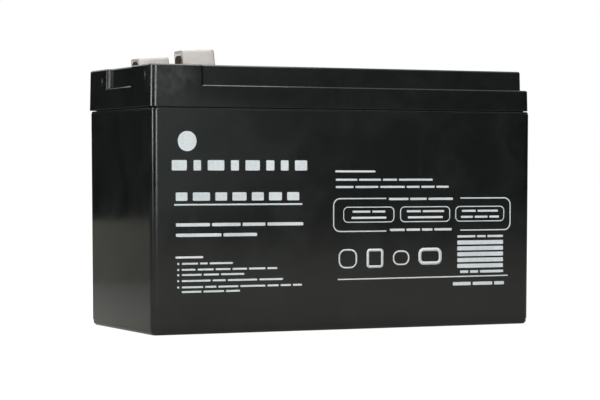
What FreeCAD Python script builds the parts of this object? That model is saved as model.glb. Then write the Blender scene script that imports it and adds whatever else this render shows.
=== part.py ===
import FreeCAD
import Part
import math
import os
from FreeCAD import Vector

# Sealed lead acid battery block: six cells in a moulded case, two blade terminals at one end.
# Sizes are millimetres and degrees. +X points away from the terminals, +Y to the back, +Z up.
# The origin is the middle of the base. Plan sizes of the case are taken at its shoulder.

# Case: one moulding with six cells, three along the length and two across
LENGTH = 151.0
WIDTH = 65.0
WALL = 3.0
PARTITION = 1.8
FLOOR = 3.0
CORNER_RADIUS = 2.9
LEAST_CORNER = 0.3
CASE_DRAFT = 0.42  # how far each side leans in from the shoulder down to the foot
SHOULDER_HEIGHT = 79.0
SHOULDER_BEVEL = 0.9
FOOT_HEIGHT = 2.0
FOOT_STEP = 0.25
FOOT_BEVEL = 0.8
COLUMNS = 3
CELL_DRAFT = 0.4  # how far each cell wall leans in from the rim down to the floor
RIM_INSET = 1.7
RIM_HEIGHT = 5.0

# Lid: skirt, ledge and raised top, glued over the rim of the case
LID_SHIFT = -0.45  # the lid was glued this far off centre, toward the terminals
LID_OVERHANG = 0.15  # how far the lid's edge stands out over the case, all round
SEAM_GAP = 0.3
SKIRT_HEIGHT = 7.6
TOP_STEP_HEIGHT = 7.1
LID_DRAFT_ANGLE = 0.9
LID_CORNER = 2.75
SIDE_STEP = 1.6
FAR_END_STEP = 2.85
FAR_CORNER = 1.0
BLOCK_LENGTH = 20.4
BLOCK_WIDTH = 19.85
BLOCK_EDGE = 1.3
NOTCH_DEPTH = 1.55
NOTCH_FLARE = 0.6  # how much each side of the notch opens toward its mouth
NOTCH_EDGE = 0.8
TOP_BEVEL = 0.45
LEDGE_BEVEL = 0.35
GLUE_SIDE_FILM = 0.1
GLUE_TOP_FILM = 0.3
LIP = 1.2
LIP_RISE = 0.65
ROOF = 3.6

# Valves: a neck over each cell in one sunk trough, a rubber cap on each neck, one cover over all
VALVE_OFFSET = 8.0  # how far the necks stand from their cells' middles, along the length
VALVE_SPREAD = 7.6
TROUGH_MARGIN = 6.4  # from the outer necks' middles to the trough's walls
TROUGH_DEPTH = 7.8
TROUGH_WALL = 1.6
NECK_RADIUS = 3.5
NECK_BORE = 2.0
NECK_HEIGHT = 4.1
VALVE_CAP_WALL = 1.3
VALVE_CAP_FIT = 0.05
VALVE_CAP_SKIRT = 3.4
COVER_THICKNESS = 1.7
COVER_SINK = 0.2
COVER_FIT = 0.2
COVER_SEAT_WIDTH = 1.2
COVER_CORNER = 2.0
COVER_BEVEL = 0.3
GAS_SLOT_LENGTH = 4.0
GAS_SLOT_DEPTH = 0.7
GAS_SLOT_PITCH = 27.0

# Terminals: a bent tab of tinned brass, soldered round its lead post and set in resin
BLADE_FROM_END = 14.95
TERMINAL_FROM_SIDE = 10.6
BLADE_WIDTH = 6.35
BLADE_THICKNESS = 0.8
BLADE_RISE = 3.4  # the blade's tip over the lid's top
BLADE_TIP_CUT = 1.2
BLADE_HOLE = 0.9
BLADE_HOLE_DROP = 3.5
TAB_BEND = 0.8
TAB_FOOT = 8.95
POCKET_DEPTH = 3.2
POCKET_GAP = 1.3  # left between the pocket and the cap that stands in it
POCKET_TAIL = 1.85  # the same gap at the cap's closed end
POCKET_CORNER = 1.6
POCKET_WALL = 1.7
RESIN_MARGIN = 0.9  # round the tab
RESIN_DEPTH = 4.2
RESIN_WALL = 2.0
POST_RADIUS = 2.1
POST_HOLE_FIT = 0.2
POST_BLADE_GAP = 0.1
POST_RISE = 4.6  # the soldered end of the post over the tab's foot

# Protective caps pushed over the blades: a hood open below and at one end
HOOD_LENGTH = 12.85
HOOD_SIDE_GAP = 0.375  # between the blade's edges and the cap's inside
HOOD_HEIGHT = 7.6
HOOD_WALL = 0.8
HOOD_CORNER = 1.8
HOOD_BEVEL = 1.0
HOOD_LEAD = 0.2
HOOD_TILT = {"positive": 3.4, "negative": 4.2}
HOOD_LIFT = {"positive": 0.75, "negative": 0.02}

# Plates and mats of each cell, stacked across the width
POSITIVE_THICKNESS = 2.6
NEGATIVE_THICKNESS = 1.8
MAT_THICKNESS = 1.0
STACK_GAP = 0.1  # least gap between the outer plates and the cell's walls
MAT_END_GAP = 0.3
MAT_OVERLAP = 0.95
MAT_RISE = 1.5
LUG_WIDTH = 9.0
LUG_OFFSET = 12.5
LUG_HEIGHT = 4.05
LUG_GRIP = 2.0

# Cast straps over the plates, joined from cell to cell by bridges in slots of the partitions
STRAP_WIDTH = 10.5
STRAP_THICKNESS = 4.0
STRAP_MARGIN = 0.3
EAR_HEIGHT = 8.0
EAR_THICKNESS = 3.0
EAR_WIDTH = 8.0
EAR_GAP = 0.05
BRIDGE_FIT = 0.05

# Heights that follow from the sizes above
RIM_TOP = SHOULDER_HEIGHT + RIM_HEIGHT
LID_BOTTOM = SHOULDER_HEIGHT + SEAM_GAP
LIP_BOTTOM = LID_BOTTOM + LIP_RISE
LEDGE = LID_BOTTOM + SKIRT_HEIGHT
LID_TOP = LEDGE + TOP_STEP_HEIGHT
GROOVE_ROOF = RIM_TOP + GLUE_TOP_FILM
UNDERSIDE = LID_TOP - ROOF
COVER_SEAT = LID_TOP - COVER_SINK - COVER_THICKNESS
TROUGH_FLOOR = LID_TOP - TROUGH_DEPTH
NECK_TOP = TROUGH_FLOOR + NECK_HEIGHT
POCKET_FLOOR = LID_TOP - POCKET_DEPTH
RESIN_BOTTOM = POCKET_FLOOR - RESIN_DEPTH
STRAP_BOTTOM = LIP_BOTTOM - EAR_HEIGHT
STRAP_TOP = STRAP_BOTTOM + STRAP_THICKNESS
PLATE_TOP = STRAP_BOTTOM - LUG_HEIGHT

# Plan sizes that follow from the sizes above
LID_LENGTH = LENGTH + 2 * LID_OVERHANG
LID_WIDTH = WIDTH + 2 * LID_OVERHANG
CELL_LENGTH = (LENGTH - 2 * WALL - (COLUMNS - 1) * PARTITION) / COLUMNS
CELL_WIDTH = (WIDTH - 2 * WALL - PARTITION) / 2
GLUE_SIDE = abs(LID_SHIFT) + GLUE_SIDE_FILM
PLATE_PITCH = MAT_THICKNESS + (POSITIVE_THICKNESS + NEGATIVE_THICKNESS) / 2
STACK_ROOM = CELL_WIDTH - 2 * (CELL_DRAFT + STACK_GAP) - NEGATIVE_THICKNESS
POSITIVE_PLATES = int(STACK_ROOM / (2 * PLATE_PITCH))
NEGATIVE_PLATES = POSITIVE_PLATES + 1
PLATE_BOTTOM = FLOOR + MAT_THICKNESS
MAT_WIDTH = CELL_LENGTH - 2 * CELL_DRAFT - 2 * MAT_END_GAP
PLATE_WIDTH = MAT_WIDTH - 2 * MAT_OVERLAP
TROUGH_SIDE = VALVE_SPREAD + TROUGH_MARGIN
POCKET_LENGTH = HOOD_LENGTH + POCKET_GAP + POCKET_TAIL
HOOD_WIDTH = BLADE_WIDTH + 2 * (HOOD_SIDE_GAP + HOOD_WALL)
POCKET_WIDTH = HOOD_WIDTH + 2 * POCKET_GAP
POCKET_LEAD = HOOD_LEAD + POCKET_GAP
RESIN_LEAD = BLADE_THICKNESS / 2 + RESIN_MARGIN
RESIN_LENGTH = RESIN_LEAD + TAB_FOOT + RESIN_MARGIN
RESIN_WIDTH = BLADE_WIDTH + 2 * RESIN_MARGIN
BLADE_X = BLADE_FROM_END - LENGTH / 2
TERMINAL_Y = WIDTH / 2 - TERMINAL_FROM_SIDE
POST_HOLE_X = BLADE_X + BLADE_THICKNESS / 2 + POST_BLADE_GAP + POST_RADIUS
POST_X = POST_HOLE_X + LID_SHIFT

FRONT, BACK = -1, 1
ALONG = Vector(1, 0, 0)
ACROSS = Vector(0, 1, 0)
PAST = 1.0  # how far a cutting solid runs past the face that it opens
CLOSE = 0.01  # points this near count as the same point

# Cells in the order of the current: along the front, then back along the rear row
CELLS = [(column, FRONT) for column in range(COLUMNS)]
CELLS += [(column, BACK) for column in reversed(range(COLUMNS))]


def outline(corners, height):
    """Closed wire through plan corners (x, y, radius), each rounded by its radius."""
    points = [Vector(x, y, height) for x, y, _ in corners]
    bends = []
    for index, (_, _, radius) in enumerate(corners):
        here = points[index]
        back = (points[index - 1] - here).normalize()
        ahead = (points[(index + 1) % len(points)] - here).normalize()
        half = back.getAngle(ahead) / 2
        reach = radius / math.tan(half)
        inward = (back + ahead).normalize()
        middle = here + inward * (radius / math.sin(half) - radius)
        bends.append((here + back * reach, middle, here + ahead * reach))
    edges = []
    for index, (start, middle, end) in enumerate(bends):
        if corners[index][2] > 0:
            edges.append(Part.Arc(start, middle, end).toShape())
        following = bends[(index + 1) % len(bends)][0]
        edges.append(Part.LineSegment(end, following).toShape())
    return Part.Wire(edges)


def rectangle(length, width, radius, x=0.0, y=0.0):
    """Plan corners of a round-cornered rectangle centred on (x, y)."""
    left, right = x - length / 2, x + length / 2
    front, back = y - width / 2, y + width / 2
    return [(left, front, radius), (right, front, radius), (right, back, radius), (left, back, radius)]


def prism(corners, bottom, top):
    """Upright solid on a plan outline."""
    return Part.Face(outline(corners, bottom)).extrude(Vector(0, 0, top - bottom))


def taper(bottom_corners, bottom, top_corners, top):
    """Drafted solid between two plan outlines: flat sides, with the upright edges rounded."""
    low = [Vector(x, y, bottom) for x, y, _ in bottom_corners]
    high = [Vector(x, y, top) for x, y, _ in top_corners]
    rings = [low[::-1], high]
    for index in range(len(low)):
        rings.append([low[index - 1], low[index], high[index], high[index - 1]])
    solid = Part.Solid(Part.Shell([Part.Face(Part.makePolygon(ring + ring[:1])) for ring in rings]))
    middles = {}
    for (_, _, radius), foot, head in zip(bottom_corners, low, high):
        if radius > 0:
            middles.setdefault(radius, []).append((foot + head) * 0.5)
    for radius, places in middles.items():
        solid = round_edges(
            solid, radius, lambda middle: any(middle.distanceToPoint(place) < CLOSE for place in places)
        )
    return solid


def block(x_ends, y_ends, z_ends):
    """Box between two limits along each axis, given in any order."""
    low = Vector(min(x_ends), min(y_ends), min(z_ends))
    high = Vector(max(x_ends), max(y_ends), max(z_ends))
    size = high - low
    return Part.makeBox(size.x, size.y, size.z, low)


def round_edges(solid, radius, chosen):
    """Fillet the edges whose middle passes the test."""
    edges = [edge for edge in solid.Edges if chosen(edge.CenterOfMass)]
    return solid.makeFillet(radius, edges)


def bevel_edges(solid, size, chosen):
    """Chamfer the edges whose middle passes the test."""
    return solid.makeChamfer(size, [edge for edge in solid.Edges if chosen(edge.CenterOfMass)])


def fused(shapes):
    """One solid from shapes that touch."""
    shape = shapes[0]
    for other in shapes[1:]:
        shape = shape.fuse(other)
    return shape.removeSplitter()


def case_plan(inset):
    """Outline of the case, moved in by an inset."""
    radius = max(CORNER_RADIUS - inset, LEAST_CORNER)
    return rectangle(LENGTH - 2 * inset, WIDTH - 2 * inset, radius)


def cell_middle(cell):
    """Plan position of a cell's middle."""
    column, row = cell
    x = (column - (COLUMNS - 1) / 2) * (CELL_LENGTH + PARTITION)
    return x, row * (CELL_WIDTH + PARTITION) / 2


def cell_plan(cell, inset):
    """Outline of a cell, moved in by an inset."""
    x, y = cell_middle(cell)
    return rectangle(CELL_LENGTH - 2 * inset, CELL_WIDTH - 2 * inset, 0, x, y)


def strap_x(cell, polarity):
    """Lugs of the two kinds stand at opposite ends, and the ends swap from row to row."""
    side = cell[1] if polarity == "positive" else -cell[1]
    return cell_middle(cell)[0] + side * LUG_OFFSET


def bridge_line(cell, other, strap):
    """Where a bridge crosses the partition between two cells, and its direction to the second."""
    x, y = cell_middle(cell)
    if other[1] == cell[1]:
        return Vector((x + cell_middle(other)[0]) / 2, y, 0), ALONG * (other[0] - cell[0])
    return Vector(strap, 0, 0), ACROSS * -cell[1]


def bridge_block(start, end, toward, width, bottom, top):
    """Box from one point to another along a bridge, of a given width."""
    half = (ACROSS if abs(toward.x) > 0 else ALONG) * (width / 2)
    near, far = start - half, end + half
    return block((near.x, far.x), (near.y, far.y), (bottom, top))


def make_case():
    """Case with its six cells, the rim for the lid's groove and the slots for the bridges."""
    foot = taper(case_plan(CASE_DRAFT + FOOT_STEP), 0, case_plan(CASE_DRAFT + FOOT_STEP), FOOT_HEIGHT)
    foot = bevel_edges(foot, FOOT_BEVEL, lambda middle: middle.z < FOOT_HEIGHT / 4)
    body = taper(case_plan(CASE_DRAFT), FOOT_HEIGHT, case_plan(0), SHOULDER_HEIGHT)
    body = bevel_edges(body, SHOULDER_BEVEL, lambda middle: middle.z > SHOULDER_HEIGHT - CLOSE)
    rim = prism(case_plan(RIM_INSET), SHOULDER_HEIGHT, RIM_TOP)
    case = fused([body, foot, rim])
    for cell in CELLS:
        case = case.cut(taper(cell_plan(cell, CELL_DRAFT), FLOOR, cell_plan(cell, 0), RIM_TOP))
    for cell, following in zip(CELLS, CELLS[1:]):
        middle, toward = bridge_line(cell, following, strap_x(cell, "negative"))
        start, end = middle - toward * PARTITION, middle + toward * PARTITION
        slot_bottom = STRAP_TOP - BRIDGE_FIT
        slot = bridge_block(start, end, toward, EAR_WIDTH + 2 * BRIDGE_FIT, slot_bottom, RIM_TOP + PAST)
        case = case.cut(slot)
    return case


def lid_inset(height):
    """How far the lid's draft has moved a wall in at a height."""
    return (height - LID_BOTTOM) * math.tan(math.radians(LID_DRAFT_ANGLE))


def lid_plan(inset):
    """Outline of the lid's skirt."""
    return rectangle(LID_LENGTH - 2 * inset, LID_WIDTH - 2 * inset, LID_CORNER)


def top_plan(inset):
    """Outline of the raised top: two corner blocks with a notch between, then stepped-in sides."""
    end = LID_LENGTH / 2 - inset
    side = LID_WIDTH / 2 - inset
    notch = end - NOTCH_DEPTH
    notch_side = LID_WIDTH / 2 - BLOCK_WIDTH + inset
    block_end = BLOCK_LENGTH - LID_LENGTH / 2 - inset
    far_end = end - FAR_END_STEP
    inner_side = side - SIDE_STEP
    half = [
        (-notch, NOTCH_FLARE - notch_side, 0),
        (-end, -notch_side, NOTCH_EDGE),
        (-end, -side, LID_CORNER),
        (block_end, -side, BLOCK_EDGE),
        (block_end, -inner_side, 0),
        (far_end, -inner_side, FAR_CORNER),
    ]
    return half + [(x, -y, radius) for x, y, radius in reversed(half)]


def valve_places():
    """Plan position of each valve, in the order of the cells."""
    places = []
    for cell in CELLS:
        x, _ = cell_middle(cell)
        places.append((x + VALVE_OFFSET, cell[1] * VALVE_SPREAD))
    return places


def trough_reach():
    """Half of the trough's length."""
    return cell_middle((COLUMNS - 1, FRONT))[0] + TROUGH_MARGIN


def trough_plan(corner, margin):
    """Outline of the trough that the necks stand in, grown by a margin."""
    reach = trough_reach() + margin
    return rectangle(2 * reach, 2 * (TROUGH_SIDE + margin), corner, VALVE_OFFSET)


def pocket_plan(row, corner, wall):
    """Outline of a terminal's pocket in the lid, grown by a wall."""
    x = BLADE_X - POCKET_LEAD + POCKET_LENGTH / 2
    return rectangle(POCKET_LENGTH + 2 * wall, POCKET_WIDTH + 2 * wall, corner, x, row * TERMINAL_Y)


def resin_plan(row, wall):
    """Outline of the resin well under a terminal, grown by a wall."""
    x = BLADE_X - RESIN_LEAD + RESIN_LENGTH / 2
    return rectangle(RESIN_LENGTH + 2 * wall, RESIN_WIDTH + 2 * wall, 0, x, row * TERMINAL_Y)


def lid_outside():
    """Outer form of the lid: drafted skirt with a bevelled ledge, and the raised top on it."""
    skirt = taper(lid_plan(0), LID_BOTTOM, lid_plan(lid_inset(LEDGE)), LEDGE)
    skirt = bevel_edges(skirt, LEDGE_BEVEL, lambda middle: middle.z > LEDGE - CLOSE)
    base = LEDGE - 2 * LEDGE_BEVEL
    raised = taper(top_plan(lid_inset(base)), base, top_plan(lid_inset(LID_TOP)), LID_TOP)
    raised = bevel_edges(raised, TOP_BEVEL, lambda middle: middle.z > LID_TOP - CLOSE)
    return fused([skirt, raised])


def glue_groove():
    """Space in the lid that takes the case's rim and partitions, with room for glue."""
    groove = prism(case_plan(RIM_INSET - GLUE_SIDE), LID_BOTTOM - PAST, GROOVE_ROOF)
    for cell in CELLS:
        groove = groove.cut(prism(cell_plan(cell, GLUE_SIDE), LID_BOTTOM - 2 * PAST, GROOVE_ROOF + PAST))
    return groove


def cell_hollow(cell):
    """Hollow of the lid over one cell, less the walls of the trough and of the terminal pockets."""
    hollow = prism(cell_plan(cell, GLUE_SIDE + LIP), LID_BOTTOM - PAST, UNDERSIDE)
    hollow = hollow.cut(prism(trough_plan(0, TROUGH_WALL), TROUGH_FLOOR - TROUGH_WALL, LID_TOP))
    for row in (FRONT, BACK):
        hollow = hollow.cut(prism(pocket_plan(row, 0, POCKET_WALL), POCKET_FLOOR - POCKET_WALL, LID_TOP))
        hollow = hollow.cut(prism(resin_plan(row, POCKET_WALL), RESIN_BOTTOM - RESIN_WALL, LID_TOP))
    return hollow


def make_lid():
    """Lid with its glue groove, hollow underside, valve trough and necks, and terminal pockets."""
    lid = lid_outside().cut(glue_groove())
    lid = lid.cut(prism(case_plan(RIM_INSET - GLUE_SIDE), LID_BOTTOM - PAST, LIP_BOTTOM))
    lid = lid.cut(prism(trough_plan(COVER_CORNER, COVER_SEAT_WIDTH), COVER_SEAT, LID_TOP + PAST))
    lid = lid.cut(prism(trough_plan(0, 0), TROUGH_FLOOR, LID_TOP))
    for cell in CELLS:
        lid = lid.cut(cell_hollow(cell))
    for place in valve_places():
        lid = lid.fuse(Part.makeCylinder(NECK_RADIUS, NECK_HEIGHT, Vector(*place, TROUGH_FLOOR)))
        bore_start = Vector(*place, TROUGH_FLOOR - TROUGH_WALL - PAST)
        lid = lid.cut(Part.makeCylinder(NECK_BORE, TROUGH_WALL + NECK_HEIGHT + 2 * PAST, bore_start))
    for row in (FRONT, BACK):
        lid = lid.cut(prism(pocket_plan(row, POCKET_CORNER, 0), POCKET_FLOOR, LID_TOP + PAST))
        lid = lid.cut(prism(resin_plan(row, 0), RESIN_BOTTOM, POCKET_FLOOR + PAST))
        hole_start = Vector(POST_HOLE_X, row * TERMINAL_Y, RESIN_BOTTOM - RESIN_WALL - PAST)
        lid = lid.cut(Part.makeCylinder(POST_RADIUS + POST_HOLE_FIT, RESIN_WALL + 2 * PAST, hole_start))
    return on_lid(lid)


def on_lid(shape):
    """Move a piece that the lid carries by the lid's shift."""
    return shape.translated(ALONG * LID_SHIFT)


def make_joint_glue(case):
    """Glue in the lid's groove, round the case's rim and partitions."""
    above_lips = prism(case_plan(0), LIP_BOTTOM, LID_TOP)
    return on_lid(glue_groove().common(above_lips)).cut(case)


def make_cover():
    """Flat cover over the valves, with slots in its edges that let gas out."""
    top = COVER_SEAT + COVER_THICKNESS
    cover = prism(trough_plan(COVER_CORNER, COVER_SEAT_WIDTH - COVER_FIT), COVER_SEAT, top)
    cover = bevel_edges(cover, COVER_BEVEL, lambda middle: middle.z > top - CLOSE)
    half_width = TROUGH_SIDE + COVER_SEAT_WIDTH - COVER_FIT
    slots = int(2 * trough_reach() / GAS_SLOT_PITCH)
    for index in range(slots):
        x = VALVE_OFFSET + (index - (slots - 1) / 2) * GAS_SLOT_PITCH
        for side in (FRONT, BACK):
            slot = block(
                (x - GAS_SLOT_LENGTH / 2, x + GAS_SLOT_LENGTH / 2),
                (side * (half_width - GAS_SLOT_DEPTH), side * (half_width + PAST)),
                (COVER_SEAT - PAST, top + PAST),
            )
            cover = cover.cut(slot)
    return on_lid(cover)


def make_valve_caps():
    """Rubber caps, one on each neck, that lift when gas presses."""
    inner = NECK_RADIUS + VALVE_CAP_FIT
    bottom = NECK_TOP - VALVE_CAP_SKIRT
    height = VALVE_CAP_SKIRT + VALVE_CAP_WALL
    caps = []
    for place in valve_places():
        cap = Part.makeCylinder(inner + VALVE_CAP_WALL, height, Vector(*place, bottom))
        caps.append(cap.cut(Part.makeCylinder(inner, VALVE_CAP_SKIRT, Vector(*place, bottom))))
    return on_lid(Part.makeCompound(caps))


def make_terminal(row, pole):
    """Bent tab: an upright blade with a hole and cut corners, and a foot that fits over the post."""
    y = row * TERMINAL_Y
    tip = LID_TOP + BLADE_RISE
    bottom = POCKET_FLOOR - BLADE_THICKNESS
    left = BLADE_X - BLADE_THICKNESS / 2
    sides = (y - BLADE_WIDTH / 2, y + BLADE_WIDTH / 2)
    blade = block((left, left + BLADE_THICKNESS), sides, (bottom, tip))
    foot = block((left, BLADE_X + TAB_FOOT), sides, (bottom, POCKET_FLOOR))
    heel = Vector(left, y, bottom)
    tab = round_edges(fused([blade, foot]), TAB_BEND, lambda middle: middle.distanceToPoint(heel) < CLOSE)
    corners = [Vector(BLADE_X, side, tip) for side in sides]
    tab = bevel_edges(
        tab, BLADE_TIP_CUT, lambda middle: any(middle.distanceToPoint(corner) < CLOSE for corner in corners)
    )
    hole_start = Vector(left - PAST, y, tip - BLADE_HOLE_DROP)
    tab = tab.cut(Part.makeCylinder(BLADE_HOLE, BLADE_THICKNESS + 2 * PAST, hole_start, ALONG))
    return on_lid(tab).cut(pole)


def make_resin(row, terminal, pole):
    """Resin poured round the post and the tab's foot, level with the pocket's floor."""
    resin = prism(resin_plan(row, 0), RESIN_BOTTOM, POCKET_FLOOR)
    return on_lid(resin).cut(terminal).cut(pole)


def make_hood(polarity, row):
    """Protective cap: a hood with rounded corners and bevelled top, open below and at one end."""
    inner_length = HOOD_LENGTH - HOOD_WALL
    inner_width = HOOD_WIDTH - 2 * HOOD_WALL
    inner_corner = HOOD_CORNER - HOOD_WALL
    hood = prism(rectangle(HOOD_LENGTH, HOOD_WIDTH, HOOD_CORNER, HOOD_LENGTH / 2), 0, HOOD_HEIGHT)
    hood = bevel_edges(hood, HOOD_BEVEL, lambda middle: middle.z > HOOD_HEIGHT - CLOSE)
    inside = [
        (-PAST, -inner_width / 2, 0),
        (inner_length, -inner_width / 2, inner_corner),
        (inner_length, inner_width / 2, inner_corner),
        (-PAST, inner_width / 2, 0),
    ]
    hood = hood.cut(prism(inside, -PAST, HOOD_HEIGHT - HOOD_WALL))
    hood.rotate(Vector(0, 0, 0), ACROSS, -HOOD_TILT[polarity])
    start = Vector(BLADE_X - HOOD_LEAD, row * TERMINAL_Y, POCKET_FLOOR + HOOD_LIFT[polarity])
    return on_lid(hood.translated(start))


def plate_places(polarity):
    """Where the plates of one kind stand across the stack, from its middle."""
    count = POSITIVE_PLATES if polarity == "positive" else NEGATIVE_PLATES
    return [(2 * index - (count - 1)) * PLATE_PITCH for index in range(count)]


def make_plates(cell, polarity):
    """Plates of one kind in a cell, each with the lug that its strap grips."""
    x, y = cell_middle(cell)
    thickness = POSITIVE_THICKNESS if polarity == "positive" else NEGATIVE_THICKNESS
    lug = strap_x(cell, polarity)
    left, right = x - PLATE_WIDTH / 2, x + PLATE_WIDTH / 2
    lug_top = STRAP_BOTTOM + LUG_GRIP
    shape = [
        (left, PLATE_BOTTOM),
        (right, PLATE_BOTTOM),
        (right, PLATE_TOP),
        (lug + LUG_WIDTH / 2, PLATE_TOP),
        (lug + LUG_WIDTH / 2, lug_top),
        (lug - LUG_WIDTH / 2, lug_top),
        (lug - LUG_WIDTH / 2, PLATE_TOP),
        (left, PLATE_TOP),
        (left, PLATE_BOTTOM),
    ]
    plates = []
    for place in plate_places(polarity):
        front = y + place - thickness / 2
        wire = Part.makePolygon([Vector(px, front, pz) for px, pz in shape])
        plates.append(Part.Face(wire).extrude(ACROSS * thickness))
    return Part.makeCompound(plates)


def make_mats(cell):
    """Glass fibre mats: one folded under and up both sides of each positive plate."""
    x, y = cell_middle(cell)
    fold = POSITIVE_THICKNESS / 2 + MAT_THICKNESS
    top = PLATE_TOP + MAT_RISE
    mats = []
    for place in plate_places("positive"):
        middle = y + place
        ends = (x - MAT_WIDTH / 2, x + MAT_WIDTH / 2)
        mat = block(ends, (middle - fold, middle + fold), (FLOOR, top))
        inside = (middle - POSITIVE_THICKNESS / 2, middle + POSITIVE_THICKNESS / 2)
        wide = (x - MAT_WIDTH / 2 - PAST, x + MAT_WIDTH / 2 + PAST)
        mats.append(mat.cut(block(wide, inside, (PLATE_BOTTOM, top + PAST))))
    return Part.makeCompound(mats)


def make_bar(cell, polarity):
    """Bar of a strap, over the lugs of a cell's plates of one kind."""
    x, y = strap_x(cell, polarity), cell_middle(cell)[1]
    thickness = POSITIVE_THICKNESS if polarity == "positive" else NEGATIVE_THICKNESS
    width = 2 * (max(plate_places(polarity)) + thickness / 2 + STRAP_MARGIN)
    return prism(rectangle(STRAP_WIDTH, width, 0, x, y), STRAP_BOTTOM, STRAP_TOP)


def make_ear(cell, other, polarity):
    """Arm from the bar, upright ear beside the partition, and half of the bridge over it."""
    x, y = strap_x(cell, polarity), cell_middle(cell)[1]
    middle, toward = bridge_line(cell, other, x)
    lean = CELL_DRAFT * (RIM_TOP - STRAP_BOTTOM) / (RIM_TOP - FLOOR)
    face = middle - toward * (PARTITION / 2 + lean + EAR_GAP)
    back = face - toward * EAR_THICKNESS
    bar_middle = Vector(x, y, 0)
    arm_start = face + toward * (bar_middle - face).dot(toward)
    arm = bridge_block(arm_start, face, toward, EAR_WIDTH, STRAP_BOTTOM, STRAP_TOP)
    upright = bridge_block(back, face, toward, EAR_WIDTH, STRAP_BOTTOM, LIP_BOTTOM)
    bridge = bridge_block(back, middle, toward, EAR_WIDTH, STRAP_TOP, LIP_BOTTOM)
    return [arm, upright, bridge]


def make_link(cell, following):
    """Lead link between two cells: negative strap of one, bridge, positive strap of the next."""
    pieces = [make_bar(cell, "negative")] + make_ear(cell, following, "negative")
    pieces += [make_bar(following, "positive")] + make_ear(following, cell, "positive")
    return fused(pieces).cut(make_plates(cell, "negative")).cut(make_plates(following, "positive"))


def make_pole(cell, polarity):
    """Strap of the first or last cell, with the post that passes through the lid and the tab."""
    post_start = Vector(POST_X, cell[1] * TERMINAL_Y, STRAP_BOTTOM)
    post = Part.makeCylinder(POST_RADIUS, POCKET_FLOOR + POST_RISE - STRAP_BOTTOM, post_start)
    return fused([make_bar(cell, polarity), post]).cut(make_plates(cell, polarity))


def save(name, shape):
    """Write one sub-part."""
    shape.exportStep("parts/" + name + ".step")


def main():
    os.makedirs("parts", exist_ok=True)
    case = make_case()
    save("case", case)
    save("lid", make_lid())
    save("joint_glue", make_joint_glue(case))
    save("valve_cover", make_cover())
    save("valve_caps", make_valve_caps())
    for number, cell in enumerate(CELLS, start=1):
        prefix = "cell_" + str(number) + "_"
        save(prefix + "mats", make_mats(cell))
        for polarity in ("positive", "negative"):
            save(prefix + polarity + "_plates", make_plates(cell, polarity))
    for number, (cell, following) in enumerate(zip(CELLS, CELLS[1:]), start=1):
        save("link_" + str(number) + "_" + str(number + 1), make_link(cell, following))
    for polarity, cell in (("positive", CELLS[0]), ("negative", CELLS[-1])):
        row = cell[1]
        pole = make_pole(cell, polarity)
        terminal = make_terminal(row, pole)
        save(polarity + "_pole", pole)
        save(polarity + "_terminal", terminal)
        save(polarity + "_resin", make_resin(row, terminal, pole))
        save(polarity + "_terminal_cap", make_hood(polarity, row))


main()
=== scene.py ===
"""Looks of a sealed lead acid battery block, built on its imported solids."""

import math

import bmesh
import bpy
from bpy.props import FloatProperty, FloatVectorProperty, IntProperty, PointerProperty
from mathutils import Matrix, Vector


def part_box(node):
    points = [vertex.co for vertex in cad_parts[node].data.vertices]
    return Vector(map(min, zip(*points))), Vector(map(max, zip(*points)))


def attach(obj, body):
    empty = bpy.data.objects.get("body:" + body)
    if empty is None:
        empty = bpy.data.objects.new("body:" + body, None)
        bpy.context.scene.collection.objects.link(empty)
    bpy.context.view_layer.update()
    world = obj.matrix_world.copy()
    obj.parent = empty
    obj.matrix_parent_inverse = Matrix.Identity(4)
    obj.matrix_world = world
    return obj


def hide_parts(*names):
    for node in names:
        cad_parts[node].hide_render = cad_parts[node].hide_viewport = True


bl_info = {
    "name": "Battery Block Looks",
    "version": (1, 0, 0),
    "blender": (4, 5, 0),
    "location": "View3D > Sidebar > Battery",
    "description": "Plastic, print, terminal caps and inner parts of a sealed lead acid battery block",
    "category": "Object",
}

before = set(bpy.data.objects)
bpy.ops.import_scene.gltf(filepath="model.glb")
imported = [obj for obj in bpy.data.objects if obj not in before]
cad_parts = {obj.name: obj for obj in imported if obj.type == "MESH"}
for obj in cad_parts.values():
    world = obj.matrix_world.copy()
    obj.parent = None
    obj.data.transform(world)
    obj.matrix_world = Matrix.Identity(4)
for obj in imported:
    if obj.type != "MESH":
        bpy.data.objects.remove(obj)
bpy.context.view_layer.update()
MM = 0.001
TINY = 1e-6  # points nearer than this are one

CELLS = range(1, 7)
POLES = ("positive", "negative")

# Kinds of node socket; a number given in their place is the default, and tells the kind
VECTOR = "NodeSocketVector"
FLOAT = "NodeSocketFloat"
GEOMETRY = "NodeSocketGeometry"
MATERIAL = "NodeSocketMaterial"
KIND_OF_NUMBER = {float: FLOAT, int: "NodeSocketInt"}
GROUPS = {}  # the shader groups, by name


def outline(left, right, bottom, top):
    """Corners of an upright box."""
    return ((left, bottom), (right, bottom), (right, top), (left, top))


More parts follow.
